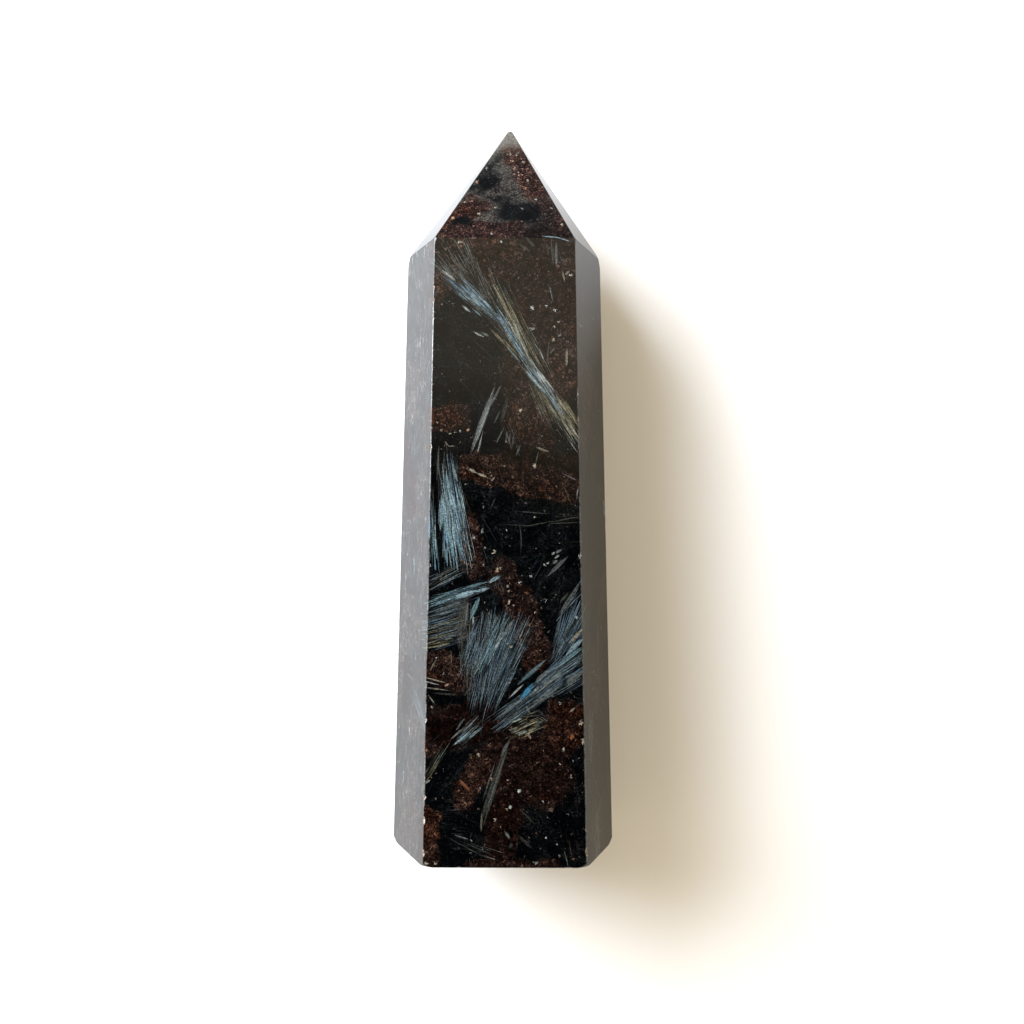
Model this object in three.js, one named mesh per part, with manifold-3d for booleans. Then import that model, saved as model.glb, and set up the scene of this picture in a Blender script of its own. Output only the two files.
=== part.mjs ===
// A polished astrophyllite point: one piece of dark stone cut as a six-sided tower that
// tapers towards a six-facet tip, lying on its back facet. Millimetres, +Z up.
//
// The stone is made as a lapidary makes it. A block is ground flat by flat: six long
// facets, the base and six tip facets. Then each edge is eased with two narrow flats,
// and each corner is rubbed round with a fan of small ones.
//
// Frame: +Y runs along the stone from its base to its tip, +Z is up out of the front
// facet, and the back facet rests on Z = 0. The origin is below the middle of the stone.

import * as THREE from "three";
import { mergeVertices } from "three/addons/utils/BufferGeometryUtils.js";
import Module from "manifold-3d";

const wasm = await Module();
wasm.setup();

// ---- driving dimensions ------------------------------------------------------------

const BODY_LENGTH = 81.8; // from the base to the shoulder, where the tip begins
const TIP_LENGTH = 18.49; // from the shoulder to the point where the tip facets meet
const APEX_ASIDE = 0.76; // how far the tip's point stands to the right of the axis

// The cutter's chart of the long facets, seen from the base with the front facet up:
// the facet's direction round the axis in degrees, from +X towards +Z, and its distance
// from the axis at the base and at the shoulder.
const LONG_FACETS = [
  { facet: "right upper", turn: 20.4, base: 14.48, shoulder: 12.46 },
  { facet: "front", turn: 90.0, base: 12.08, shoulder: 10.67 },
  { facet: "left upper", turn: 157.0, base: 14.12, shoulder: 12.58 },
  { facet: "left lower", turn: 204.0, base: 13.95, shoulder: 12.33 },
  { facet: "back", turn: 270.0, base: 12.08, shoulder: 10.67 },
  { facet: "right lower", turn: 338.0, base: 13.96, shoulder: 12.75 },
];
const BROAD_FACETS = ["front", "back"]; // the side edges are those that touch neither

const EDGE_RADIUS = 0.22; // how far each polished edge is eased
const EDGE_FLATS = 2; // narrow flats that make one eased edge
const CORNER_RADIUS = 0.7; // how round a corner of a broad facet is rubbed
const SIDE_CORNER_RADIUS = { base: 0.8, shoulder: 1.9 }; // the ends of the side edges
const APEX_RADIUS = 0.5; // how round the tip's point is rubbed
const BLANK = { width: 60, length: 240 }; // the block that is ground, before any flat
const GRIND_SIDE = 500; // side of the cube that cuts one flat, so that it spans the blank

// ---- grinding ----------------------------------------------------------------------

// A closed three.js geometry as a manifold-3d solid.
function solidOf(geometry) {
  const bare = geometry.clone();
  bare.deleteAttribute("normal");
  bare.deleteAttribute("uv");
  const merged = mergeVertices(bare, 1e-5);
  return new wasm.Manifold(
    new wasm.Mesh({
      numProp: 3,
      vertProperties: merged.attributes.position.array,
      triVerts: new Uint32Array(merged.index.array),
    }),
  );
}

// Grinds away everything beyond a flat, which is a unit normal pointing out of the stone
// and its distance from the origin.
function grind(stone, flat) {
  const turn = new THREE.Quaternion().setFromUnitVectors(
    new THREE.Vector3(0, 0, 1),
    flat.normal,
  );
  const ground = new THREE.BoxGeometry(GRIND_SIDE, GRIND_SIDE, GRIND_SIDE)
    .translate(0, 0, GRIND_SIDE / 2 + flat.distance)
    .applyQuaternion(turn);
  return stone.subtract(solidOf(ground));
}

// The point where three flats meet.
function meetingPoint(a, b, c) {
  const bc = b.normal.clone().cross(c.normal);
  const ca = c.normal.clone().cross(a.normal);
  const ab = a.normal.clone().cross(b.normal);
  return bc
    .clone()
    .multiplyScalar(a.distance)
    .addScaledVector(ca, b.distance)
    .addScaledVector(ab, c.distance)
    .divideScalar(a.normal.dot(bc));
}

// ---- the facets, with the axis along +Y and the base in the plane Y = 0 ------------

const apex = new THREE.Vector3(APEX_ASIDE, BODY_LENGTH + TIP_LENGTH, 0);
const baseFlat = { normal: new THREE.Vector3(0, -1, 0), distance: 0 };

const longFlats = LONG_FACETS.map(({ turn, base, shoulder }) => {
  const angle = THREE.MathUtils.degToRad(turn);
  const lean = Math.atan2(base - shoulder, BODY_LENGTH); // the taper of this facet
  const normal = new THREE.Vector3(
    Math.cos(angle) * Math.cos(lean),
    Math.sin(lean),
    Math.sin(angle) * Math.cos(lean),
  );
  return { normal, distance: base * Math.cos(lean) };
});

const next = (i) => (i + 1) % longFlats.length;
const shoulderPlane = {
  normal: new THREE.Vector3(0, 1, 0),
  distance: BODY_LENGTH,
};

// Corner i is where long facets i and i + 1 meet, at the base and at the shoulder.
const baseCorners = longFlats.map((flat, i) =>
  meetingPoint(flat, longFlats[next(i)], baseFlat),
);
const shoulderCorners = longFlats.map((flat, i) =>
  meetingPoint(flat, longFlats[next(i)], shoulderPlane),
);

// Tip facet i rises from the shoulder edge of long facet i to the apex.
const tipFlats = longFlats.map((_, i) => {
  const from = shoulderCorners[(i + longFlats.length - 1) % longFlats.length];
  const to = shoulderCorners[i];
  const normal = to
    .clone()
    .sub(apex)
    .cross(from.clone().sub(apex))
    .normalize();
  if (normal.dot(longFlats[i].normal) < 0) normal.negate();
  return { normal, distance: normal.dot(apex) };
});

// ---- easing edges and corners ------------------------------------------------------

// The flats that round the edge between two facets, through a point of that edge.
function easedEdge(a, b, point) {
  const centre = a.normal
    .clone()
    .add(b.normal)
    .multiplyScalar(-EDGE_RADIUS / (1 + a.normal.dot(b.normal)))
    .add(point);
  return Array.from({ length: EDGE_FLATS }, (_, k) => {
    const share = (k + 1) / (EDGE_FLATS + 1);
    const normal = a.normal.clone().lerp(b.normal, share).normalize();
    return {
      normal,
      distance: normal.dot(centre) + EDGE_RADIUS,
    };
  });
}

// The flats that rub a corner round, all touching a ball that nestles in the corner
// against its facets: one across the middle, and one leaning halfway towards each facet
// and each edge.
function rubbedCorner(facets, point, radius) {
  const sum = new THREE.Vector3();
  const spread = Array(9).fill(0);
  for (const { normal } of facets) {
    sum.add(normal);
    const axes = normal.toArray();
    axes.forEach((a, row) =>
      axes.forEach((b, column) => (spread[3 * row + column] += a * b)),
    );
  }
  const outwards = sum.applyMatrix3(new THREE.Matrix3().fromArray(spread).invert());
  const centre = point.clone().addScaledVector(outwards, -radius);
  const middle = outwards.clone().normalize();
  const leaning = facets.flatMap(({ normal }, i) => {
    const beside = facets[(i + 1) % facets.length].normal;
    const edge = normal.clone().add(beside).normalize();
    return [normal, edge].map((towards) => middle.clone().add(towards).normalize());
  });
  return [middle, ...leaning].map((normal) => ({
    normal,
    distance: normal.dot(centre) + radius,
  }));
}

// ---- the stone ---------------------------------------------------------------------

const eased = [];
longFlats.forEach((flat, i) => {
  const beside = longFlats[next(i)];
  eased.push(...easedEdge(flat, beside, baseCorners[i]));
  eased.push(...easedEdge(flat, baseFlat, baseCorners[i]));
  eased.push(...easedEdge(flat, tipFlats[i], shoulderCorners[i]));
  eased.push(...easedEdge(tipFlats[i], tipFlats[next(i)], apex));
});

const rubbed = longFlats.flatMap((flat, i) => {
  const j = next(i);
  const beside = longFlats[j];
  const isSide = [i, j].every((k) => !BROAD_FACETS.includes(LONG_FACETS[k].facet));
  const radius = isSide
    ? SIDE_CORNER_RADIUS
    : { base: CORNER_RADIUS, shoulder: CORNER_RADIUS };
  const atShoulder = [flat, beside, tipFlats[j], tipFlats[i]];
  return [
    ...rubbedCorner([flat, beside, baseFlat], baseCorners[i], radius.base),
    ...rubbedCorner(atShoulder, shoulderCorners[i], radius.shoulder),
  ];
});
rubbed.push(...rubbedCorner(tipFlats, apex, APEX_RADIUS));

const blank = solidOf(new THREE.BoxGeometry(BLANK.width, BLANK.length, BLANK.width));
const flats = [baseFlat, ...longFlats, ...tipFlats, ...eased, ...rubbed];
const polished = flats.reduce(grind, blank);

// The solid's triangles as a three.js geometry.
function geometryOf(solid) {
  const { vertProperties, triVerts } = solid.getMesh();
  return new THREE.BufferGeometry()
    .setAttribute("position", new THREE.BufferAttribute(vertProperties, 3))
    .setIndex(new THREE.BufferAttribute(triVerts, 1));
}

const polishedStone = new THREE.MeshStandardMaterial({
  color: 0x1d1916,
  roughness: 0.12,
  metalness: 0,
});
const point = new THREE.Mesh(geometryOf(polished), polishedStone);
point.name = "astrophyllite_point";
point.geometry.computeVertexNormals();

// Laying the stone down turns it by its back facet's taper, so that the facet is level.
const back = LONG_FACETS.find(({ facet }) => facet === "back");
point.rotation.x = -Math.atan2(back.base - back.shoulder, BODY_LENGTH);
const laid = new THREE.Box3().setFromObject(point, true);
const middle = laid.getCenter(new THREE.Vector3());
point.position.set(-middle.x, -middle.y, -laid.min.z);

const stone = new THREE.Group();
stone.add(point);

export default stone;
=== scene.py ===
import itertools
import math
import random

import bmesh
import bpy
from mathutils import Matrix, Vector


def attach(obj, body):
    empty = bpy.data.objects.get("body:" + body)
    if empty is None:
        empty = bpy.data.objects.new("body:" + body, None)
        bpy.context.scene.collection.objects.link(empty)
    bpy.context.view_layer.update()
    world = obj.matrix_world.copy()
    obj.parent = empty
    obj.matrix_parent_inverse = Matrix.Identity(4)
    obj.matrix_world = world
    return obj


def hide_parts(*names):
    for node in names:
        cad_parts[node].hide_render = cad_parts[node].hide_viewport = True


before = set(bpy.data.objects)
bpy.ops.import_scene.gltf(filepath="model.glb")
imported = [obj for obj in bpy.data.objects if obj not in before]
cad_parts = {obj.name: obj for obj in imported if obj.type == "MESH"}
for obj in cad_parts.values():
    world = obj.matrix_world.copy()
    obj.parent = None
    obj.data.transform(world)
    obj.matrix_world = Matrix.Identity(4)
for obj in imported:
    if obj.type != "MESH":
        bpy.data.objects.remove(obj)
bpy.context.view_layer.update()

# ---- The stone's body --------------------------------------------------------------
# One piece of rock, ground to six long facets, six tip facets and a base, then polished.
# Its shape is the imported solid's, and the narrow flats of its eased edges are shaded as
# one round.

MM = 0.001
WELD = 0.0005  # mm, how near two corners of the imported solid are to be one
FLAT_WITHIN = math.radians(0.4)  # the most that two triangles of one facet lean apart
BROAD_FACE = 50  # mm2, the least that a facet covers, which no eased edge does
FRONT_CUTS = (-16.0, 10.0)  # mm along the stone, where one material meets the next

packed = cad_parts["astrophyllite_point"]
ground_stone = bmesh.new()
ground_stone.from_mesh(packed.data)
bmesh.ops.remove_doubles(ground_stone, verts=ground_stone.verts, dist=WELD * MM)
bmesh.ops.dissolve_limit(
    ground_stone,
    angle_limit=FLAT_WITHIN,
    verts=ground_stone.verts,
    edges=ground_stone.edges,
    delimit=set(),
)
FACETS = [
    (face.normal.copy(), face.calc_center_median() / MM)
    for face in ground_stone.faces
    if face.calc_area() > BROAD_FACE * MM * MM
]


def facet(towards):
    """The normal and middle, in mm, of the facet that looks most nearly that way."""
    return max(FACETS, key=lambda pair: pair[0].dot(Vector(towards).normalized()))


for cut in FRONT_CUTS:
    everything = [*ground_stone.verts, *ground_stone.edges, *ground_stone.faces]
    bmesh.ops.bisect_plane(
        ground_stone, geom=everything, plane_co=(0, cut * MM, 0), plane_no=(0, 1, 0)
    )
stone_mesh = bpy.data.meshes.new("polished_stone")
ground_stone.to_mesh(stone_mesh)
ground_stone.free()
stone = bpy.data.objects.new("polished_stone", stone_mesh)
bpy.context.collection.objects.link(stone)

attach(stone, "root")
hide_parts("astrophyllite_point")

# ---- The rock ----------------------------------------------------------------------
# Black aegirine and red-brown mica in fine grains, with astrophyllite through it: sprays
# of thin bronze, silver and blue blades, lying at all angles. A clear polish covers it.

# Roughly the way that each facet looks.
FRONT, BACK, BASE = (0, 0, 1), (0, 0, -1), (0, -1, 0)
LEFT_UPPER, LEFT_LOWER = (-0.92, 0, 0.39), (-0.91, 0, -0.41)
RIGHT_UPPER, RIGHT_LOWER = (0.94, 0, 0.35), (0.93, 0, -0.37)
TIP_FRONT = (0, 0.51, 0.86)


class Wire:
    """A value that flows through the material. Python arithmetic on it adds Math nodes."""

    tree = None

    def __init__(self, socket):
        self.socket = socket

    @classmethod
    def node(cls, kind, inputs, output=0, **settings):
        """Adds a node, with the values or links of its sockets and its settings."""
        made = cls.tree.nodes.new("ShaderNode" + kind)
        for name, value in settings.items():
            if name == "stops":
                stops = made.color_ramp.elements
                stops.remove(stops[1])
                stops[0].position, stops[0].color = value[0]
                for position, colour in value[1:]:
                    stops.new(position).color = colour
            else:
                setattr(made, name, value)
        for name, value in inputs.items():
            if isinstance(value, Wire):
                cls.tree.links.new(value.socket, made.inputs[name])
            else:
                made.inputs[name].default_value = value
        return Wire(made.outputs[output])

    @classmethod
    def maths(cls, operation, *values):
        return cls.node("Math", dict(enumerate(values)), operation=operation)

    def out(self, name):
        """Another output of the node that this wire leaves."""
        return Wire(self.socket.node.outputs[name])

    def __add__(self, other):
        return Wire.maths("ADD", self, other)

    def __sub__(self, other):
        return Wire.maths("SUBTRACT", self, other)

    def __mul__(self, other):
        return Wire.maths("MULTIPLY", self, other)

    def __truediv__(self, other):
        return Wire.maths("DIVIDE", self, other)

    def __pow__(self, other):
        return Wire.maths("POWER", self, other)

    def __rsub__(self, other):
        return Wire.maths("SUBTRACT", other, self)

    def __abs__(self):
        return Wire.maths("ABSOLUTE", self)

    __radd__ = __add__
    __rmul__ = __mul__


def ramp(value, start, end):
    """0 below start, 1 above end and smooth between. With start above end it falls."""
    limits = {"Value": value, "From Min": start, "From Max": end}
    return Wire.node("MapRange", limits, interpolation_type="SMOOTHSTEP", clamp=False)


def blend(under, over, amount, how="MIX"):
    """One colour over another."""
    settings = {"data_type": "RGBA", "clamp_factor": True, "blend_type": how}
    return Wire.node("Mix", {0: amount, 6: under, 7: over}, 2, **settings)


def vector(operation, *values):
    """Vector Math. A dot product is a number, which leaves by the node's second socket."""
    output = 1 if operation == "DOT_PRODUCT" else 0
    return Wire.node("VectorMath", dict(enumerate(values)), output, operation=operation)


def scaled(value, amount):
    return Wire.node("VectorMath", {0: value, "Scale": amount}, operation="SCALE")


def axes(value):
    """A vector's three numbers."""
    first = Wire.node("SeparateXYZ", {"Vector": value})
    return first, first.out("Y"), first.out("Z")


def channels(colour):
    first = Wire.node("SeparateColor", {"Color": colour})
    return first, first.out("Green"), first.out("Blue")


def point(x, y, z=0.0):
    return Wire.node("CombineXYZ", {"X": x, "Y": y, "Z": z})


LIGHT_ON_STONE = 3.0  # the studio's light on a level facet: a colour is seen so much paler


def seen(red, green, blue):
    """The colour that looks so on a screen, 0 to 255, once the studio lights it."""
    linear = [
        (c / 255 / 12.92) if c <= 10 else ((c / 255 + 0.055) / 1.055) ** 2.4
        for c in (red, green, blue)
    ]
    return (*(channel / LIGHT_ON_STONE for channel in linear), 1.0)


def part_of_material(name, sockets, build):
    """A group of nodes that is used many times. Its sockets are names with their kinds,
    and build is given a wire for each and returns the colour that leaves."""
    tree = bpy.data.node_groups.new(name, "ShaderNodeTree")
    for label, kind in sockets.items():
        tree.interface.new_socket(label, in_out="INPUT", socket_type="NodeSocket" + kind)
    tree.interface.new_socket("colour", in_out="OUTPUT", socket_type="NodeSocketColor")
    Wire.tree = tree
    given = tree.nodes.new("NodeGroupInput")
    result = build(**{label: Wire(given.outputs[label]) for label in sockets})
    tree.links.new(result.socket, tree.nodes.new("NodeGroupOutput").inputs[0])
    return tree


SCATTER = (12.9898, 43758.5453)  # they leave no pattern in the digits of a sine


def chance(number, salt):
    """Chance, from 0 to 1, for each whole number."""
    sine = Wire.maths("SINE", number * SCATTER[0] + salt)
    return Wire.maths("FRACT", sine * SCATTER[1])


def wander(number, detail=0.0):
    """Smooth noise along a line."""
    inputs = {"W": number, "Scale": 1.0, "Detail": detail, "Roughness": 0.6}
    return Wire.node("TexNoise", inputs, noise_dimensions="1D")


def noise(at, scale, detail, roughness=0.5, dimensions="3D"):
    inputs = {"Vector": at, "Scale": scale, "Detail": detail, "Roughness": roughness}
    return Wire.node("TexNoise", inputs, noise_dimensions=dimensions)


def kind_of_mark(name, build, numbers="", colours=""):
    """Nodes that draw one kind of mark over the ground. Build is given the ground, how
    far a place is along the mark, across it and out of the facet, and its own inputs."""

    def drawn(ground, place, spot, x_axis, y_axis, z_axis, **own):
        near = vector("SUBTRACT", place, spot)
        reach = [vector("DOT_PRODUCT", near, axis) for axis in (x_axis, y_axis, z_axis)]
        return build(ground, reach, **own)

    sockets = {"ground": "Color"}
    sockets |= dict.fromkeys(("place", "spot", "x_axis", "y_axis", "z_axis"), "Vector")
    sockets |= dict.fromkeys(numbers.split(), "Float")
    sockets |= dict.fromkeys(colours.split(), "Color")
    return part_of_material(name, sockets, drawn)


def sheaf_nodes(
    ground, reach, start, end, waist, spread, bend, depth, blades, length, fill, seed,
    pale, dim, other,
):
    """Thin blades side by side in lanes, narrowest at the waist and fanning out from it.
    Each lane is broken into blades, end to end, and chance says which of them show."""
    along, across, below = reach
    bent = across - bend * along * along
    width = (along * along * spread * spread + waist * waist) ** 0.5
    share = bent / width
    wobble = wander(share * blades * 0.43 + seed) * 2.6
    lane_at = share * blades + wobble
    lane = Wire.maths("FLOOR", lane_at)
    beside = abs(lane_at - lane - 0.5) * 2.0
    lane_luck = chance(lane, seed) * 7.0
    row_at = along / length + lane_luck
    row = Wire.maths("FLOOR", row_at)
    towards_end = abs(row_at - row - 0.5) * 2.0
    number = lane * 0.737 + row * 0.531 + seed
    luck, bright, hue = (chance(number, salt) for salt in (0.3, 1.7, 3.1))
    middle = (row + 0.5 - lane_luck) * length
    inside = ramp(middle, start + length * 0.15, start + length * 0.75)
    inside = inside * ramp(middle, end - length * 0.1, end - length * 0.7)
    inside = inside * ramp(abs(share), 1.1, 0.6) * fill
    shown = ramp(inside - luck, -0.02, 0.06)
    fibres = point(share * blades * 0.42, along * 0.3 + seed)
    silk = ramp(noise(fibres, 1.0, 1.0, dimensions="2D"), 0.42, 0.6)
    colour = blend(dim, pale, bright * bright * 0.7 + silk * 0.62 - 0.16)
    colour = blend(colour, other, ramp(hue, 0.74, 0.8) * silk)
    pointed = towards_end * towards_end * towards_end
    outline = ramp(beside * 0.8 + pointed * 0.7, 1.15, 0.5)
    amount = shown * outline * ramp(abs(below), depth, depth * 0.6)
    return blend(ground, colour, amount * (silk * 0.52 + 0.48))


def blade_nodes(ground, reach, bend, streaks, strength, seed, tint):
    """One blade with split, pointed ends, from -1 to 1 each way in its own frame."""
    along, across, below = reach
    bent = across - bend * along * along
    silk = ramp(wander(bent * streaks + along * 0.6 + seed, 1.0), 0.42, 0.6)
    shape = (1.0 - along * along) * 1.4 - abs(bent) * 0.95 + silk * 0.5 - 0.35
    amount = ramp(shape, 0.0, 0.6) * ramp(abs(below), 1.0, 0.6)
    return blend(ground, tint, amount * (silk * 0.75 + 0.25) * strength)


def patch_nodes(ground, reach, ragged, rock, tint):
    """A patch of other rock, rounded like a worn box, with a ragged outline."""
    reach = point(*reach)
    squared = vector("MULTIPLY", reach, reach)
    edge = vector("DOT_PRODUCT", squared, squared)
    inside = ramp(edge, ragged + 1.0, 1.0 - ragged)
    return blend(blend(ground, rock, inside), tint, inside, "MULTIPLY")


def fleck_nodes(ground, reach, tint):
    """One pale grain."""
    reach = point(*reach)
    return blend(ground, tint, ramp(vector("DOT_PRODUCT", reach, reach), 1.2, 0.55))


SHEAF_NUMBERS = "start end waist spread bend depth blades length fill seed"
KINDS = {
    "sheaf": kind_of_mark("a sheaf of blades", sheaf_nodes, SHEAF_NUMBERS, "pale dim other"),
    "blade": kind_of_mark("one blade", blade_nodes, "bend streaks strength seed", "tint"),
    "patch": kind_of_mark("a patch of rock", patch_nodes, "ragged", "rock tint"),
    "fleck": kind_of_mark("a pale grain", fleck_nodes, colours="tint"),
}
MICA = (
    (0.0, seen(4, 2, 2)),
    (0.3, seen(15, 9, 8)),
    (0.5, seen(38, 27, 24)),
    (0.68, seen(72, 57, 51)),
    (0.85, seen(122, 107, 100)),
    (1.0, seen(190, 178, 168)),
)
BLACK = (
    (0.0, seen(0, 1, 2)),
    (0.42, seen(4, 5, 7)),
    (0.6, seen(16, 16, 17)),
    (1.0, seen(70, 70, 68)),
)
HALF = (0.5, 0.5, 0.5)  # the middle of a noise's colour


def mica_and_black(place, ragged, nick, nicked):
    """The two rocks in their grains: a faint felt of fibres, sparkles and pale dust."""
    bundle = Wire.node("TexVoronoi", {"Vector": ragged, "Scale": 0.17})
    way = vector("NORMALIZE", vector("SUBTRACT", bundle.out("Color"), HALF))
    stretch = scaled(way, vector("DOT_PRODUCT", place, way) * 6.4)
    fibre = noise(vector("SUBTRACT", scaled(place, 7.0), stretch), 1.0, 2.0, 0.6)
    fibre = ramp(fibre, 0.5, 0.72) * ramp(noise(place, 0.35, 1.0), 0.42, 0.6)

    grainy = vector("MULTIPLY_ADD", nick, (0.3, 0.3, 0.3), place)
    grain = Wire.node("TexVoronoi", {"Vector": grainy, "Scale": 5.4})
    grain_luck, sparkle, _ = channels(grain.out("Color"))
    sparkle = ramp(sparkle, 0.62, 0.82) * ramp(grain.out("Distance"), 0.42, 0.15)
    spangle = grain_luck * 0.42 + noise(place, 1.1, 4.0, 0.75) * 1.6 - 0.57
    mica = Wire.node("ValToRGB", {"Fac": spangle}, stops=MICA)
    redder = ramp(noise(place, 0.22, 2.0), 0.5, 0.62)
    mica = blend(mica, (1.0, 0.74, 0.58, 1), redder, "MULTIPLY")
    hollow = ramp(noise(nicked, 0.85, 3.0, 0.65), 0.52, 0.4)
    mica = blend(mica, seen(14, 8, 9), hollow * 0.5)
    mica = blend(mica, seen(142, 130, 120), fibre * 0.16)
    mica = blend(mica, seen(150, 130, 122), sparkle * 0.38)
    black = Wire.node("ValToRGB", {"Fac": spangle * 0.55 + 0.02}, stops=BLACK)
    black = blend(black, seen(92, 98, 98), fibre * 0.24)
    black = blend(black, seen(96, 98, 98), sparkle * 0.2)

    dust = Wire.node("TexVoronoi", {"Vector": nicked, "Scale": 2.0})
    luck, chosen, hue = channels(dust.out("Color"))
    specked = ramp(dust.out("Distance") - luck * luck * 0.19 - 0.03, 0.04, -0.03)
    specked = specked * ramp(chosen, 0.5, 0.55)
    pale_grain = blend(seen(190, 185, 178), seen(150, 120, 100), hue)
    mica = blend(mica, pale_grain, specked * 0.8)
    black = blend(black, pale_grain, specked * 0.5)
    return mica, black


def bare_rock():
    """What every mark needs: the rock under the marks, the places that they are drawn at,
    smooth, ragged and nicked, and the two rocks that patches are filled with."""
    at = Wire.node("TexCoord", {}).out("Object")
    place = scaled(at, 1 / MM)
    swirl = vector("SUBTRACT", noise(place, 0.5, 4.0, 0.62).out("Color"), HALF)
    ragged = vector("MULTIPLY_ADD", swirl, (3.2, 3.2, 3.2), place)
    nick = vector("SUBTRACT", noise(place, 4.6, 2.0).out("Color"), HALF)
    nicked = vector("MULTIPLY_ADD", nick, (0.85, 0.85, 0.85), place)
    mica, black = mica_and_black(place, ragged, nick, nicked)

    # Brown at large on the sides, and on the front only where its patches are.
    normal, middle = facet(FRONT)
    under = normal.dot(middle) - vector("DOT_PRODUCT", place, tuple(normal))
    across, along, _ = axes(place)
    brown = ramp(noise(ragged, 0.09, 1.0), 0.49, 0.53) * ramp(under, 0.8, 3.0)
    brown = brown * ramp(along, 33.0, 31.0)
    ground = blend(black, mica, brown)

    # Fine streaks along the sides, partly painted light; pale grey clouding in the tip; and a
    # painted highlight at its point.
    lengthwise = vector("MULTIPLY", place, (4.4, 0.5, 4.4))
    brushed = noise(lengthwise, 1.0, 3.0, 0.75)
    streak_and_painted_light = ramp(brushed, 0.62, 0.71) * ramp(noise(place, 0.4, 2.0), 0.42, 0.6)
    streak_and_painted_light = (streak_and_painted_light * 0.85 + ramp(brushed, 0.44, 0.6) * 0.06) * ramp(under, 0.3, 0.8)
    # Stronger on the left side, which faces the lamp, than on the right: painted light.
    streak_and_painted_light = streak_and_painted_light * (ramp(across, 2.0, -8.0) * 0.9 + 0.45) * ramp(under, 12.6, 10.0)
    ground = blend(ground, seen(205, 205, 200), streak_and_painted_light * ramp(along, 33.0, 31.5))
    clouded = ramp(noise(ragged, 0.45, 4.0, 0.7), 0.36, 0.64) * ramp(along, 33.0, 35.0)
    clouded = clouded * (ramp(noise(place, 3.4, 3.0, 0.7), 0.35, 0.68) * 0.8 + 0.2)
    ground = blend(ground, seen(112, 106, 98), clouded * 0.8)
    # A painted highlight, paler towards the point of the tip.
    clear = ramp(along + noise(ragged, 0.4, 2.0) * 7.0, 46.5, 53.0)
    ground = blend(ground, seen(136, 132, 124), clear * 0.85)

    # The edges round the front facet are rubbed pale here and there, with a painted highlight.
    # The painted highlight is strongest on the left edge, which faces the lamp.
    for side, strength in ((LEFT_UPPER, 0.42), (RIGHT_UPPER, 0.25), (BASE, 0.25)):
        beside, there = facet(side)
        from_edge = under + beside.dot(there) - vector("DOT_PRODUCT", place, tuple(beside))
        wear_and_edge_highlight = ramp(from_edge, 0.16, 0.07) * ramp(noise(place, 1.3, 3.0, 0.7), 0.3, 0.56)
        ground = blend(ground, seen(206, 204, 198), wear_and_edge_highlight * strength)
    return {
        "ground": ground, "place": place, "ragged": ragged,
        "nicked": nicked, "mica": mica, "black": black,
    }


# The marks on that ground, in the order that they lie over each other.

marks = []


def on(side, x, y):
    """The point of a facet, in mm, over or under a point of the table."""
    normal, middle = facet(side)
    z = (normal.dot(middle) - normal.x * x - normal.y * y) / normal.z
    return Vector((x, y, z))


def directions(side):
    """The ways across a facet and up along it."""
    normal, _ = facet(side)
    across = Vector((0, 1, 0)).cross(normal).normalized()
    return across, normal.cross(across)


def mark(kind, side, at, heading, low, high, size=(1, 1, 1), **inputs):
    """Lists a mark on a facet, in mm: X along its heading, Z out of the facet. Low and
    high are the corners, in that frame, of the box that holds it. The mark's own frame
    is measured in its size."""
    normal, middle = facet(side)
    spot = at - normal * normal.dot(at - middle)
    turn = math.radians(heading)
    across, upwards = directions(side)
    along = across * math.cos(turn) + upwards * math.sin(turn)
    own_axes = (along, normal.cross(along), normal)
    inputs["spot"] = spot
    for name, axis, unit in zip(("x_axis", "y_axis", "z_axis"), own_axes, size):
        inputs[name] = axis / unit
    marks.append((kind, inputs, own_axes, low, high))


def corners(low, high):
    """The eight corners of a box."""
    return [Vector(corner) for corner in itertools.product(*zip(low, high))]


def box_of(laid):
    """The corners of the box that holds a mark, as they lie in the stone."""
    _, inputs, own_axes, low, high = laid
    turned = Matrix(own_axes).transposed()
    return [inputs["spot"] + turned @ corner for corner in corners(low, high)]


def reaches(low, high, laid):
    """True if a mark's box may reach into the block of stone between two corners."""
    _, inputs, own_axes, own_low, own_high = laid
    block = [corner - inputs["spot"] for corner in corners(low, high)]
    for axis, least, most in zip(own_axes, own_low, own_high):
        along = [corner.dot(axis) for corner in block]
        if max(along) < least or min(along) > most:
            return False
    box = box_of(laid)
    return all(
        max(c[i] for c in box) > low[i] and min(c[i] for c in box) < high[i]
        for i in range(3)
    )


def cut_by(laid, facets):
    """True if one of the facets may cut through a mark's box."""
    return any(
        max(corner.dot(normal) for corner in box_of(laid)) >= normal.dot(middle)
        for normal, middle in facets
    )


FINISHES = {
    # the bright faces of the blades, the dim ones, and a few of another hue
    "silver": (seen(178, 205, 208), seen(52, 62, 66), seen(120, 165, 200)),
    "steel": (seen(126, 143, 148), seen(38, 44, 48), seen(86, 114, 136)),
    "sea": (seen(150, 185, 188), seen(42, 54, 58), seen(100, 140, 165)),
    "smoke": (seen(98, 101, 97), seen(28, 28, 27), seen(112, 110, 98)),
    "straw": (seen(160, 152, 122), seen(60, 55, 38), seen(150, 165, 160)),
    "olive": (seen(108, 106, 88), seen(32, 30, 20), seen(120, 130, 125)),
    "bark": (seen(82, 66, 54), seen(22, 16, 12), seen(70, 66, 60)),
}
WHITE, ICE, SEA = seen(196, 202, 197), seen(165, 194, 202), seen(125, 158, 164)
BLUE, CREAM, GOLD = seen(112, 142, 170), seen(176, 168, 148), seen(150, 142, 112)
GREY, ASH, SOOT = seen(128, 134, 130), seen(84, 84, 78), seen(5, 5, 6)
PEACH, RUST = seen(176, 140, 112), seen(92, 52, 36)
FINER = 1.5  # how many times more blades lie side by side than a row says, and longer
ENDS = 1.12  # how much longer a blade is drawn, whose ends are too thin to show
STRAY = 1.8  # mm, how far the ragged outline of a patch may stray
SHRUNK = 0.85  # how much of its size a grain is drawn, as its soft edge adds to it
GRAIN_DEPTH = 0.3  # mm


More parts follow.
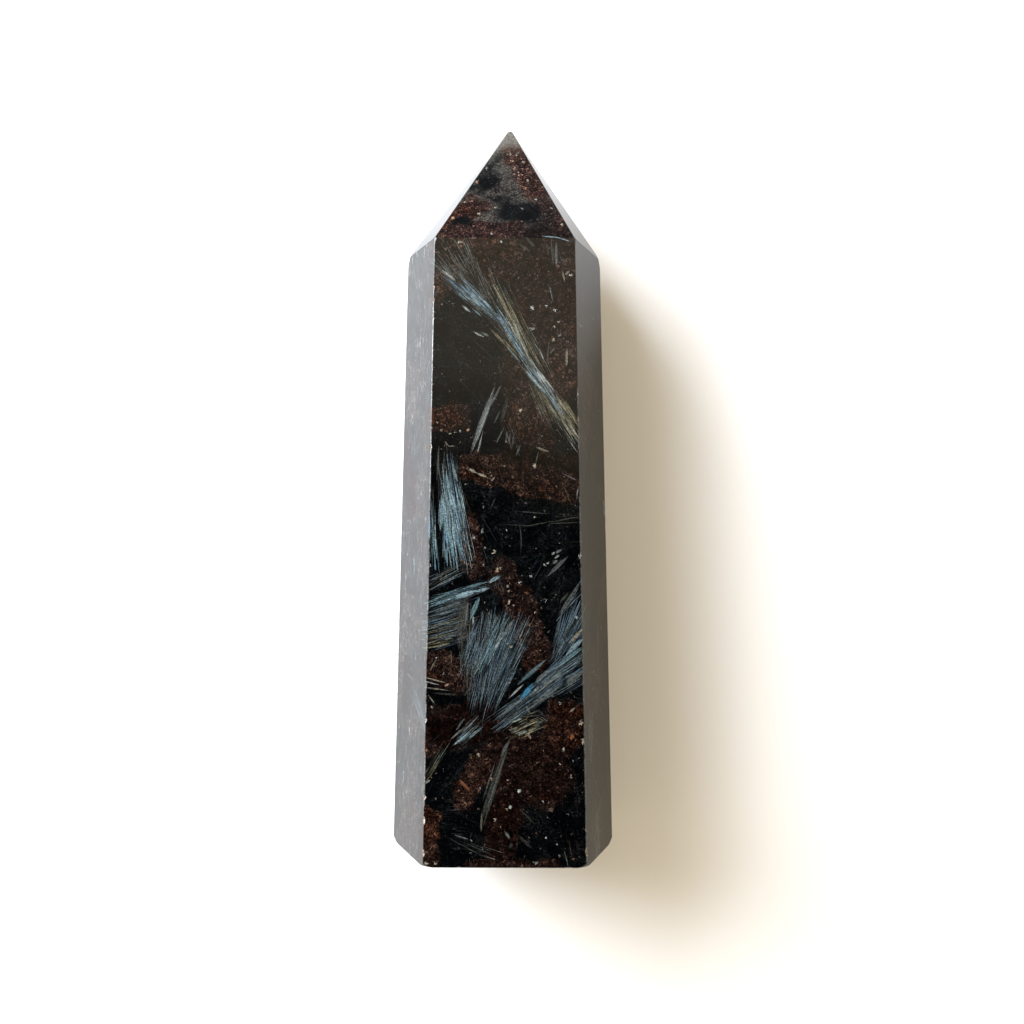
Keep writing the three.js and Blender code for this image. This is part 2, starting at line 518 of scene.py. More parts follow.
def sheaf(
    at, heading, reach, waist, spread, blades, length, fill, finish,
    bend=0.0, side=FRONT, depth=3.0,
):
    """Blades from reach[0] to reach[1] along the heading, in a band that is waist wide
    to each side of the spot and opens by spread for each mm along. Blades is how many
    lie side by side."""
    start, end = reach
    length *= FINER
    far = max(abs(start), abs(end)) + length
    half_width = math.hypot(waist, spread * far) * 1.2 + 0.3
    swing = bend * far * far
    pale, dim, other = FINISHES[finish]
    mark(
        "sheaf", side, at if isinstance(at, Vector) else on(side, *at), heading,
        (start - length, -half_width + min(0, swing), -depth),
        (end + length, half_width + max(0, swing), depth),
        start=start, end=end, waist=waist, spread=spread, bend=bend, depth=depth,
        blades=blades * FINER, length=length, fill=fill, seed=dice.uniform(5, 90),
        pale=pale, dim=dim, other=other,
    )


def blade(x0, y0, x1, y1, width, tint, strength=0.9, bend=0.0, side=FRONT, depth=1.2):
    """One blade from end to end, its bend in widths."""
    first, last = on(side, x0, y0), on(side, x1, y1)
    lay_blade(side, first, last, width, tint, strength, bend, depth)


def lay_blade(side, first, last, width, tint, strength, bend, depth):
    across, upwards = directions(side)
    run = last - first
    heading = math.degrees(math.atan2(run.dot(upwards), run.dot(across)))
    size = (run.length / 2 * ENDS, width / 2, depth)
    room = (1 + abs(bend)) * 1.3
    box = Vector((size[0], size[1] * room, depth))
    mark(
        "blade", side, (first + last) / 2, heading, -box, box,
        size=size, bend=bend, streaks=1.2 + width * 4, strength=strength,
        seed=dice.uniform(5, 90), tint=tint,
    )


def patch(at, heading, size, tint, ragged=0.25, side=FRONT, depth=2.5, rock="mica"):
    """A patch of brown mica, or of black where the rock is black."""
    box = Vector((size[0] + STRAY, size[1] + STRAY, depth + STRAY))
    spot = at if isinstance(at, Vector) else on(side, *at)
    mark(
        "patch", side, spot, heading, -box, box,
        size=(*size, depth), ragged=ragged, rock=rock, tint=(*tint, 1.0),
    )


def fleck(x, y, wide, long, heading=0.0, tint=WHITE, side=FRONT):
    size = (wide * SHRUNK, long * SHRUNK, GRAIN_DEPTH)
    box = Vector(size) * 1.2 + Vector((0.3, 0.3, 0.3))
    mark("fleck", side, on(side, x, y), heading, -box, box, size=size, tint=tint)


dice = random.Random(27)

# The front facet, from the shoulder down. Patches first.

patch((-2.6, 29.6), -6, (8.0, 3.4), (0.75, 0.72, 0.68), 0.7)
patch((5.6, 22.0), 82, (12.5, 5.0), (0.62, 0.58, 0.54), 0.55)
patch((8.4, 16.4), 80, (5.0, 2.2), (1.1, 1.0, 0.95), 0.6)
patch((-3.6, 32.0), 0, (6.6, 1.0), (1.15, 1.05, 1.0), 0.5)
patch((-8.2, 26.4), 60, (3.4, 1.4), (1.0, 0.9, 0.84), 0.6)
patch((-7.4, 8.6), 5, (3.0, 1.7), (1.1, 0.9, 0.8), 0.6)
patch((3.4, 7.6), 100, (4.0, 3.0), (0.95, 0.82, 0.76), 0.5)
patch((5.4, 2.9), -8, (5.6, 1.8), (0.3, 0.28, 0.2), 0.6)
patch((2.2, 0.7), -12, (8.2, 2.2), (0.8, 0.64, 0.54), 0.2)
patch((-4.1, -8.2), -82, (4.2, 1.35), (1.1, 0.95, 0.88), 0.4)
patch((1.2, -14.0), -58, (4.4, 2.0), (0.72, 0.62, 0.58), 0.5)
patch((3.9, -20.8), -78, (3.4, 2.0), (0.95, 0.78, 0.7), 0.4)
patch((-7.2, -24.4), -20, (3.2, 2.4), (1.1, 0.92, 0.82), 0.5)
patch((7.9, -31.8), 70, (3.6, 2.6), (0.9, 0.6, 0.45), 0.6)
patch((3.2, -36.6), -38, (6.2, 3.8), (0.5, 0.38, 0.34), 0.6)
patch((-3.9, -38.6), 65, (4.0, 1.7), (1.0, 0.75, 0.62), 0.6)
patch((-9.4, -46.0), 88, (4.0, 1.3), (1.0, 0.75, 0.62), 0.5)
patch((0.2, -44.2), 82, (4.6, 2.2), (0.4, 0.28, 0.26), 0.6)
patch((1.5, -49.0), 0, (6.0, 0.6), (0.7, 0.55, 0.48), 0.7)
patch((-9.3, -33.2), 85, (2.4, 1.0), (1.7, 1.5, 1.3), 0.6)
patch((-5.4, -31.4), 10, (4.6, 2.6), (0.26, 0.17, 0.17), 0.6)

# The feathery spray under the shoulder, that bends down across the facet.

sheaf((-0.4, 20.0), 124, (0.5, 14.5), 0.6, 0.33, 34, 3.4, 0.85, "smoke")
sheaf((0.0, 20.4), 134, (0.5, 9.6), 0.5, 0.17, 16, 2.8, 0.8, "steel")
sheaf((0.4, 20.9), 112, (0.5, 9.0), 0.4, 0.16, 12, 2.6, 0.7, "smoke")
sheaf((-1.2, 21.9), 138, (-2.0, 6.4), 0.5, 0.13, 11, 2.0, 0.7, "silver")
sheaf((1.6, 20.8), -63, (-6.5, 9.5), 1.6, 0.08, 24, 3.6, 0.8, "olive")
sheaf((0.4, 19.6), -54, (-4.5, 5.5), 1.0, 0.06, 14, 3.0, 0.7, "smoke")
sheaf((1.2, 21.4), -65, (-5.5, 7.0), 0.7, 0.05, 9, 3.2, 0.85, "straw")
sheaf((1.2, 18.9), -59, (-5.0, 7.0), 0.5, 0.08, 8, 2.6, 0.85, "silver", 0.01)
sheaf((0.1, 18.3), -48, (-2.8, 3.4), 0.36, 0.06, 5, 2.4, 0.85, "straw")
sheaf((3.0, 15.4), -54, (-1.0, 12.6), 1.0, 0.1, 16, 3.2, 0.8, "straw")
sheaf((3.4, 13.6), -66, (-0.5, 7.5), 0.7, 0.12, 12, 2.8, 0.75, "olive")
sheaf((3.2, 14.9), -53, (-1.0, 8.0), 0.45, 0.05, 7, 2.4, 0.75, "silver")
sheaf((5.4, 10.0), -61, (-3.4, 4.2), 0.7, 0.05, 8, 3.0, 0.75, "olive")
sheaf((8.3, 8.8), -60, (-3.0, 3.8), 1.0, 0.05, 10, 2.6, 0.95, "straw")
sheaf((0.6, 7.6), -68, (-0.5, 3.2), 0.8, 0.2, 9, 1.6, 0.6, "smoke")

for row in (
    (-8.1, 27.9, -6.3, 26.5, 0.26, WHITE), (-8.3, 28.6, -6.6, 27.0, 0.2, GREY),
    (-4.6, 25.0, -3.0, 23.0, 0.22, ICE), (-6.3, 25.2, -4.6, 23.7, 0.22, SEA),
    (-5.5, 23.3, -4.3, 22.3, 0.24, WHITE), (-4.2, 22.9, -2.9, 21.8, 0.2, SEA),
    (-2.7, 23.9, -1.4, 22.5, 0.24, SEA), (-1.2, 22.1, 0.2, 20.9, 0.2, BLUE, 0.8),
    (0.1, 21.3, 1.1, 19.4, 0.16, BLUE, 0.7), (1.4, 18.8, 2.7, 16.1, 0.2, SEA, 0.7),
    (-1.4, 26.0, -0.3, 24.0, 0.18, CREAM), (-0.3, 24.3, 1.2, 21.0, 0.18, CREAM, 0.7),
    (1.1, 21.3, 2.4, 18.6, 0.2, CREAM, 0.7), (2.2, 19.0, 3.5, 15.8, 0.3, GOLD, 0.7),
    (-1.8, 20.2, 0.3, 18.0, 0.22, GOLD, 0.7), (0.4, 17.9, 2.2, 15.7, 0.2, SEA, 0.7),
    (3.0, 14.6, 5.1, 12.1, 0.32, ICE), (4.4, 14.5, 5.5, 13.1, 0.5, WHITE, 1.0),
    (5.3, 13.3, 7.1, 10.6, 0.2, BLUE, 0.8), (5.0, 14.2, 6.6, 12.0, 0.24, WHITE),
    (6.8, 11.6, 8.3, 9.1, 0.24, CREAM, 0.8), (7.5, 11.3, 9.7, 7.6, 0.28, GOLD, 0.8),
    (8.4, 7.8, 9.9, 5.8, 0.26, CREAM, 0.8), (4.7, 17.5, 5.3, 16.0, 0.15, WHITE),
    (0.2, 22.0, 2.2, 18.2, 0.12, WHITE, 0.8), (-1.0, 23.3, 0.8, 20.5, 0.12, ICE),
    (1.2, 20.6, 3.4, 16.2, 0.1, WHITE, 0.8), (0.4, 19.8, 1.9, 17.2, 0.1, ICE, 0.8),
    (3.4, 16.6, 6.0, 12.0, 0.12, WHITE, 0.8), (-3.6, 24.8, -1.4, 22.7, 0.12, ICE, 0.8),
    (-5.0, 26.6, -2.6, 24.4, 0.1, GREY, 0.8), (-3.95, 19.75, -2.55, 19.1, 0.22, WHITE, 0.75),
    (-2.95, 19.7, -1.85, 19.15, 0.24, GREY), (-1.15, 12.4, -4.2, 3.9, 0.6, GREY, 1.0),
    (-1.5, 11.0, -3.9, 4.4, 0.22, WHITE, 0.6), (-0.2, 12.9, -2.0, 9.5, 0.26, GREY, 0.8),
    (-2.75, 6.3, -3.35, 3.8, 0.18, WHITE, 0.8), (0.55, 11.3, -0.3, 7.7, 0.4, ASH, 0.55),
    (-0.3, 9.6, -1.25, 7.7, 0.12, GREY, 0.7), (0.1, 7.2, -0.95, 5.1, 0.18, GREY, 0.6),
    (0.5, 6.8, 0.35, 5.2, 0.2, GREY, 0.45), (0.95, 6.6, 0.7, 5.0, 0.18, GREY, 0.4),
    (1.45, 6.5, 1.1, 4.5, 0.2, GREY, 0.4), (2.25, 5.0, 1.7, 3.5, 0.2, GREY, 0.55),
    (6.25, 31.9, 6.55, 28.5, 0.32, ASH), (6.85, 31.7, 6.95, 28.3, 0.36, GREY, 0.75),
    (5.75, 31.3, 5.9, 29.7, 0.18, ASH, 0.8), (7.3, 29.8, 8.05, 28.8, 0.3, ASH),
    (2.9, 32.3, 4.15, 30.9, 0.3, ASH, 0.8), (2.0, 31.4, 3.4, 30.4, 0.3, ASH, 0.7),
    (7.65, 27.9, 8.0, 26.5, 0.22, CREAM, 0.7), (8.05, 27.3, 8.65, 27.8, 0.26, CREAM, 0.8),
    (5.95, 25.9, 6.45, 23.9, 0.16, GREY, 0.8), (8.3, 17.6, 8.25, 15.2, 0.26, CREAM, 0.8),
    (5.9, 18.2, 5.7, 15.0, 0.25, ASH, 0.8), (6.1, 16.9, 6.7, 17.7, 0.14, GREY, 0.8),
):
    blade(*row)

# Lower: the spray at the left edge, the bright blades across, and the great fan.

sheaf((-7.6, 5.2), -90, (0.2, 8.0), 1.3, 0.06, 14, 2.6, 0.75, "smoke")
sheaf((-7.2, 3.4), -83, (0.0, 14.4), 1.1, 0.15, 20, 3.4, 0.98, "silver")
sheaf((-7.8, 1.2), -80, (0.0, 12.5), 0.7, 0.12, 14, 3.0, 0.98, "silver")
sheaf((-9.3, -1.8), -88, (0.0, 8.6), 0.6, 0.06, 9, 3.0, 0.95, "silver")
sheaf((-9.0, -7.2), -84, (-0.5, 4.6), 0.5, 0.08, 5, 2.6, 0.85, "sea")
sheaf((-9.2, 1.2), -92, (0.0, 7.5), 0.35, 0.03, 4, 3.0, 0.8, "bark")
sheaf((-5.9, 1.2), -72, (0.0, 5.4), 0.35, 0.05, 5, 2.2, 0.65, "bark")
sheaf((-7.4, -12.1), 27, (-3.0, 3.6), 1.1, 0.04, 13, 3.4, 0.9, "steel")
sheaf((-6.2, -15.0), 20, (-3.8, 5.0), 1.0, 0.06, 12, 3.2, 0.9, "steel")
sheaf((-1.4, -13.2), 196, (-0.4, 9.4), 0.3, 0.1, 9, 3.8, 0.92, "sea")
sheaf((-3.2, -16.6), -97, (-0.4, 5.8), 1.3, 0.03, 12, 2.2, 0.5, "smoke")
sheaf((-7.6, -18.6), 17, (-3.6, 3.8), 3.0, 0.03, 30, 2.8, 0.95, "steel")
sheaf((-8.6, -20.0), 12, (-3.0, 3.6), 1.8, 0.03, 18, 2.6, 0.75, "straw")
sheaf((-6.6, -17.6), 19, (-3.6, 3.8), 2.2, 0.03, 16, 2.8, 0.7, "smoke")
sheaf((-3.4, -30.2), 76, (0.0, 14.2), 1.7, 0.19, 38, 3.0, 0.95, "steel")
sheaf((-4.4, -27.6), 92, (-1.0, 11.0), 1.0, 0.1, 16, 2.6, 0.7, "smoke")
sheaf((-1.8, -29.4), 66, (0.0, 12.6), 1.2, 0.1, 20, 3.0, 0.85, "steel")
sheaf((-2.2, -22.6), 64, (-3.0, 6.2), 0.9, 0.13, 13, 2.6, 0.8, "sea")
sheaf((2.4, -28.8), 37, (-4.5, 9.5), 1.3, 0.13, 26, 3.2, 0.95, "steel")
sheaf((-0.4, -30.6), 41, (0.0, 12.5), 0.35, 0.105, 12, 3.4, 0.9, "steel")
sheaf((6.3, -24.2), 72, (0.0, 10.0), 0.7, 0.17, 18, 3.0, 0.9, "steel")
sheaf((6.9, -17.4), 50, (0.2, 6.2), 0.6, 0.12, 10, 2.8, 0.7, "steel")
sheaf((5.6, -25.2), 35, (0.0, 6.4), 0.7, 0.2, 13, 3.2, 0.95, "sea")
sheaf((7.4, -22.6), 60, (-1.0, 8.4), 1.0, 0.14, 20, 2.8, 0.8, "steel")
sheaf((5.0, -26.4), 32, (-1.0, 8.0), 1.3, 0.06, 16, 3.2, 0.85, "steel")
sheaf((-4.4, -23.6), 70, (-2.0, 6.4), 1.6, 0.08, 20, 2.8, 0.85, "steel")
sheaf((6.4, -27.6), 32, (-1.0, 5.4), 0.7, 0.1, 10, 3.0, 0.9, "steel")
sheaf((8.8, -24.8), 36, (-1.4, 2.6), 0.75, 0.05, 7, 3.4, 0.95, "steel")
sheaf((-7.0, -34.8), 42, (1.0, 6.0), 1.2, 0.2, 18, 2.2, 0.85, "smoke")
sheaf((-7.0, -34.8), 42, (1.6, 5.6), 0.9, 0.16, 14, 2.0, 0.85, "silver")
sheaf((-9.0, -36.6), 58, (-3.4, 3.2), 0.75, 0.04, 7, 2.8, 0.85, "olive")
sheaf((2.8, -31.4), 24, (-2.6, 2.6), 1.5, 0.05, 13, 0.9, 0.55, "straw")
sheaf((4.8, -30.2), -30, (-1.6, 1.6), 0.9, 0.1, 9, 0.8, 0.5, "smoke")
sheaf((-4.0, -46.6), -24, (-3.0, 3.6), 0.9, 0.05, 9, 2.6, 0.45, "smoke", 0.02)
sheaf((9.4, -47.4), -80, (-2.2, 2.2), 0.9, 0.05, 9, 2.0, 0.6, "bark")
sheaf((8.2, -4.6), 3, (-2.6, 2.6), 0.7, 0.02, 8, 2.6, 0.4, "olive")

for row in (
    (-7.45, 1.2, -7.0, -1.3, 0.36, SEA), (-7.1, -0.8, -6.1, -3.9, 0.55, ICE),
    (-6.35, 1.8, -5.95, 0.1, 0.2, WHITE, 0.7), (-8.0, -1.6, -8.1, -6.2, 0.6, ICE, 0.75),
    (-7.7, -3.0, -7.3, -8.0, 0.5, SEA, 0.8), (-7.0, -5.5, -6.35, -10.4, 0.35, SEA),
    (-7.7, -7.8, -7.15, -10.9, 0.25, SEA, 0.8), (-6.5, -6.0, -5.1, -9.8, 0.4, SEA, 0.75),
    (-9.75, -13.5, -6.5, -10.7, 0.22, ASH), (-9.8, -14.1, -5.1, -11.5, 0.2, GREY, 0.75),
    (-9.0, -12.6, -4.9, -10.4, 0.2, ASH), (-1.9, -13.0, -0.3, -12.1, 0.42, ICE),
    (-6.3, -14.95, -3.3, -14.0, 0.55, ICE, 1.0), (-3.6, -14.2, -1.7, -13.65, 0.32, ICE),
    (-5.6, -13.9, -1.9, -12.85, 0.3, SEA), (-9.9, -16.3, -6.0, -14.8, 0.22, SEA),
    (-9.9, -15.6, -5.4, -13.6, 0.22, SEA, 0.8), (-4.75, -14.9, -5.6, -21.4, 1.25, ASH),
    (-4.5, -15.2, -4.9, -18.6, 0.3, GREY, 0.7), (-3.0, -14.8, -4.25, -17.8, 0.5, SEA, 0.95),
    (-3.8, -17.2, -3.82, -18.5, 0.2, WHITE, 0.8), (0.1, -19.8, -1.2, -21.7, 0.22, WHITE),
    (1.5, -17.7, 0.0, -20.0, 0.4, GREY), (3.05, -17.5, 1.5, -20.4, 0.34, ASH),
    (-0.5, -17.3, -2.4, -21.6, 0.28, ASH), (0.7, -17.4, -1.1, -20.8, 0.2, ASH),
    (-4.95, -27.6, -3.75, -25.9, 0.3, ASH), (0.8, -27.9, 2.7, -26.1, 0.22, WHITE),
    (2.0, -26.1, 5.6, -22.9, 0.4, SEA, 0.8), (-0.9, -30.5, 2.6, -27.9, 0.3, GREY, 0.8),
    (0.1, -31.0, 3.2, -28.8, 0.3, ASH), (3.2, -29.4, 7.7, -26.0, 0.5, GREY, 0.7),
    (4.3, -25.7, 6.0, -24.2, 0.42, GREY, 0.8), (4.3, -27.3, 7.6, -24.6, 0.22, CREAM, 0.6),
    (8.0, -26.3, 10.6, -24.2, 0.6, GREY, 0.7), (8.2, -22.4, 10.5, -20.1, 0.5, ICE),
    (7.1, -23.8, 10.4, -21.2, 0.42, SEA, 0.8), (8.6, -20.8, 10.4, -18.9, 0.4, CREAM),
    (2.35, -28.0, 3.95, -25.9, 0.55, seen(70, 150, 190), 0.95),
    (5.8, -12.1, 8.5, -9.5, 0.38, GREY, 0.7), (6.35, -9.35, 6.75, -9.0, 0.22, WHITE, 1.0),
    (6.85, -9.15, 7.65, -8.65, 0.32, GREY), (6.7, -9.8, 7.4, -9.35, 0.2, WHITE),
    (6.45, -10.5, 7.15, -10.05, 0.32, GREY), (7.4, -15.6, 8.5, -14.2, 0.3, ASH),
    (7.3, -17.2, 10.0, -13.1, 0.5, GREY, 0.7), (-6.4, -34.0, -4.2, -32.2, 0.26, ICE),
    (-6.7, -33.2, -4.9, -31.6, 0.2, GREY), (-5.95, -32.0, -4.85, -30.4, 0.2, GREY, 0.8),
    (-4.5, -33.1, -2.55, -31.6, 0.3, SEA, 0.85), (-9.95, -38.85, -9.25, -38.35, 0.18, WHITE, 1.0),
    (0.85, -33.3, -2.8, -43.6, 0.66, ASH, 0.8, 0.35),
    (0.6, -34.4, -2.6, -44.6, 0.3, GREY, 0.5, 0.5), (0.95, -33.2, -0.2, -35.4, 0.32, GREY, 0.7),
    (-0.9, -36.0, -2.5, -41.0, 0.2, GREY, 0.55), (-2.6, -42.4, -2.72, -45.1, 0.18, CREAM, 0.5),
    (-6.1, -45.4, -4.3, -45.9, 0.18, GREY), (2.1, -41.9, 4.3, -44.1, 0.14, ASH),
    (2.1, -45.4, 3.9, -47.1, 0.4, ASH, 0.5), (8.0, -47.4, 8.55, -49.4, 0.16, GREY, 0.8),
    (0.35, -44.9, 1.0, -45.8, 0.3, GREY, 1.0), (1.3, -46.3, 1.0, -47.1, 0.3, ASH),
    (1.5, -3.7, 6.2, -4.05, 0.14, ASH), (2.5, -5.75, 6.6, -4.95, 0.12, ASH),
    (6.3, -5.1, 10.0, -4.35, 0.14, ASH), (0.0, -5.4, 4.4, -5.65, 0.1, ASH, 0.6),
    (7.0, -5.3, 10.0, -5.1, 0.12, ASH, 0.7), (2.25, -5.0, 2.45, -9.3, 0.14, ASH, 0.8, -3.0),
    (-1.0, -1.9, -1.7, -3.5, 0.2, ASH, 0.6), (9.75, -0.6, 9.6, -2.1, 0.16, WHITE, 0.5),
    (-4.45, 1.85, -3.5, 1.3, 0.34, CREAM, 1.0), (-3.35, 1.2, -2.1, 0.75, 0.3, CREAM, 1.0),
    (-5.1, 2.0, -1.2, 0.3, 0.14, CREAM, 0.6), (-1.1, 0.75, -1.55, 0.15, 0.18, CREAM, 0.7),
    (-7.65, 5.4, -7.05, 4.7, 0.14, CREAM, 0.7), (-7.15, 4.7, -6.3, 4.8, 0.14, CREAM, 0.6),
    (7.7, 1.25, 9.65, 0.3, 0.16, GREY, 0.7), (4.6, 4.1, 4.2, 2.3, 0.12, GREY, 0.6),
    (4.25, 4.65, 5.95, 4.05, 0.26, CREAM, 0.6), (4.05, -25.2, 4.35, -26.6, 0.5, SOOT, 0.95),
    (7.95, -24.6, 8.25, -27.8, 0.65, SOOT), (8.3, -25.0, 10.6, -23.4, 0.36, SOOT, 0.95),
    (4.9, -27.0, 7.0, -25.5, 0.36, SOOT), (-6.7, -21.7, -6.6, -23.6, 0.12, CREAM, 0.5),
    (-8.6, -22.9, -9.4, -24.4, 0.16, CREAM, 0.7), (-10.2, -25.2, -7.4, -25.9, 0.16, CREAM),
    (-10.2, -25.7, -8.2, -26.2, 0.14, WHITE, 0.8), (-10.3, -26.5, -7.0, -26.9, 0.16, CREAM, 0.7),
    (-9.6, -27.5, -8.75, -28.6, 0.14, CREAM, 0.8), (-9.0, -27.2, -5.4, -27.5, 0.2, ASH, 0.7),
    (1.9, -30.35, 5.2, -30.0, 0.16, ASH, 0.8, 0.8), (3.1, -28.9, 3.6, -29.9, 0.25, GREY, 0.7),
    (8.7, -29.6, 9.4, -29.05, 0.22, CREAM, 0.8), (3.3, -32.4, 3.7, -33.1, 0.25, CREAM),
    (-5.6, -38.2, -4.2, -39.8, 0.3, seen(150, 95, 65), 0.8),
    (-3.7, -22.9, -3.2, -23.9, 0.35, GREY, 0.7),
):
    blade(*row)

GRAINS = {
    RUST: [
        (6.4, 19.1, 0.3, 0.2), (-9.35, 9.2, 0.3, 0.9), (-9.3, 8.0, 0.3, 0.5),
        (1.75, 9.9, 0.3, 0.35),
    ],
    seen(200, 180, 168): [(0.8, -15.5, 0.22, 0.36)],
    seen(150, 96, 60): [(9.0, -32.8, 0.3, 0.4)],
    seen(100, 84, 76): [(6.3, -42.1, 0.4, 0.3)],
    ASH: [(4.5, -31.3, 0.4, 0.5)],
    GREY: [
        (3.7, 20.2, 0.5, 0.22), (7.4, 19.4, 0.22, 0.25), (-2.7, -6.3, 0.14, 0.45),
        (2.15, -32.4, 0.3, 0.25), (4.4, -48.9, 0.4, 0.2),
    ],
    PEACH: [
        (-0.7, -11.5, 0.26, 0.22), (-5.8, -15.6, 0.16, 0.17), (-7.2, -26.15, 0.3, 0.2),
        (-9.1, -29.0, 0.15, 0.2), (2.6, -49.2, 0.14, 0.18),
    ],
    CREAM: [
        (-5.7, 31.6, 0.35, 0.25), (-5.4, 32.5, 0.4, 0.14), (7.2, 21.1, 0.18, 0.16),
        (6.65, 20.4, 0.14, 0.16), (6.5, 18.7, 0.35, 0.2), (-6.85, 6.4, 0.16, 0.11),
        (-6.25, 6.6, 0.09, 0.12), (2.3, 9.5, 0.2, 0.2), (4.1, 2.2, 0.22, 0.3),
        (-1.1, -9.0, 0.42, 0.15, 40), (-0.3, -11.1, 0.12, 0.22), (1.45, -15.9, 0.14, 0.14),
        (0.85, -14.1, 0.15, 0.11), (7.35, -7.8, 0.12, 0.12), (10.2, -31.0, 0.26, 0.4),
        (10.4, -33.4, 0.2, 0.45), (-3.05, -35.2, 0.24, 0.26), (8.85, -37.9, 0.14, 0.34),
        (0.6, -42.1, 0.14, 0.14), (-0.9, -43.4, 0.22, 0.22), (-9.7, -49.0, 0.3, 0.24),
        (-8.6, -49.0, 0.24, 0.16),
    ],
    WHITE: [
        (-0.35, 31.7, 0.14, 0.14), (8.85, 27.2, 0.22, 0.14), (3.75, 22.9, 0.28, 0.3),
        (5.65, 23.2, 0.18, 0.14), (6.8, 22.6, 0.18, 0.14), (-5.65, 6.7, 0.15, 0.16),
        (-9.4, 7.2, 0.14, 0.16), (9.8, 11.6, 0.2, 0.2), (0.15, 2.2, 0.16, 0.11),
        (-3.75, -7.1, 0.3, 0.16, -25), (-2.35, -8.5, 0.16, 0.12), (0.42, -6.15, 0.18, 0.12),
        (3.65, -12.05, 0.11, 0.2), (2.25, -12.9, 0.2, 0.11), (5.6, -15.2, 0.15, 0.13),
        (4.25, -16.8, 0.18, 0.1), (-6.95, -15.2, 0.13, 0.15), (9.95, -9.6, 0.12, 0.24),
        (5.45, -10.75, 0.12, 0.14), (7.5, -28.5, 0.12, 0.12), (-2.9, -39.4, 0.13, 0.16),
        (7.9, -34.4, 0.16, 0.24), (7.5, -36.3, 0.14, 0.14), (9.1, -35.9, 0.18, 0.12, -40),
        (2.2, -39.75, 0.22, 0.28), (1.05, -41.8, 0.22, 0.2), (5.25, -41.15, 0.13, 0.14),
        (5.7, -45.75, 0.13, 0.13),
    ],
}
for tint, grains in GRAINS.items():
    for grain in grains:
        fleck(*grain, tint=tint)

# Between the grains placed so far, smaller ones anywhere.

SMALL_GRAINS = 50
for _ in range(SMALL_GRAINS):
    spot = (dice.uniform(-9.8, 9.8), dice.uniform(-49.0, 8.0))
    size = (dice.uniform(0.05, 0.15), dice.uniform(0.05, 0.18))
    tint = dice.choice((WHITE, CREAM, CREAM, PEACH, GREY))
    fleck(*spot, *size, dice.uniform(0, 180), tint)

# The front facet of the tip.

patch((2.9, 42.6), -68, (5.6, 1.9), (1.9, 1.5, 1.35), 0.9, TIP_FRONT)
patch((-5.4, 35.8), 48, (4.0, 1.9), (1.7, 1.3, 1.15), 0.9, TIP_FRONT)
patch((-2.4, 33.4), 4, (5.4, 1.3), (1.2, 0.9, 0.85), 0.9, TIP_FRONT)
patch((6.6, 35.6), -56, (3.2, 1.4), (0.9, 0.84, 0.8), 0.9, TIP_FRONT)
patch((-2.1, 41.0), 10, (1.7, 1.5), (1, 1, 1), 0.9, TIP_FRONT, 1.5, "black")
patch((1.9, 36.1), -8, (3.2, 1.7), (1, 1, 1), 0.9, TIP_FRONT, 1.5, "black")
patch((-5.5, 34.6), 0, (1.3, 0.8), (1, 1, 1), 0.9, TIP_FRONT, 1.5, "black")
# Two pale ice-blue strokes along the shoulder edge: a painted highlight of its rounded edge.
blade(4.9, 32.45, 7.2, 32.25, 0.16, ICE)
blade(6.6, 32.35, 8.9, 31.7, 0.14, ICE, 0.8)
TIP_GRAINS = {
    GREY: [(-2.45, 43.5, 0.14, 0.5), (6.3, 36.9, 0.25, 0.15)],
    PEACH: [
        (1.2, 44.7, 0.14, 0.24), (1.95, 42.3, 0.2, 0.24), (2.9, 40.1, 0.14, 0.3),
        (-3.8, 41.2, 0.25, 0.4), (-6.75, 35.3, 0.22, 0.3),
    ],
    CREAM: [
        (1.6, 45.8, 0.2, 0.2), (2.65, 44.6, 0.2, 0.2), (0.8, 46.0, 0.08, 0.5, -10),
        (1.4, 43.6, 0.14, 0.2), (3.2, 41.5, 0.24, 0.24), (-5.4, 37.8, 0.3, 0.15),
        (-3.3, 36.0, 0.25, 0.15, -30), (-1.2, 37.0, 0.2, 0.12), (2.4, 36.8, 0.3, 0.12, -40),
        (7.7, 34.3, 0.15, 0.2),
    ],
    WHITE: [(-1.6, 32.8, 0.12, 0.2), (4.3, 38.3, 0.12, 0.15)],
}
for tint, grains in TIP_GRAINS.items():
    for grain in grains:
        fleck(*grain, tint=tint, side=TIP_FRONT)

# The other facets: the same rock, with marks wherever the cut happened to meet them.

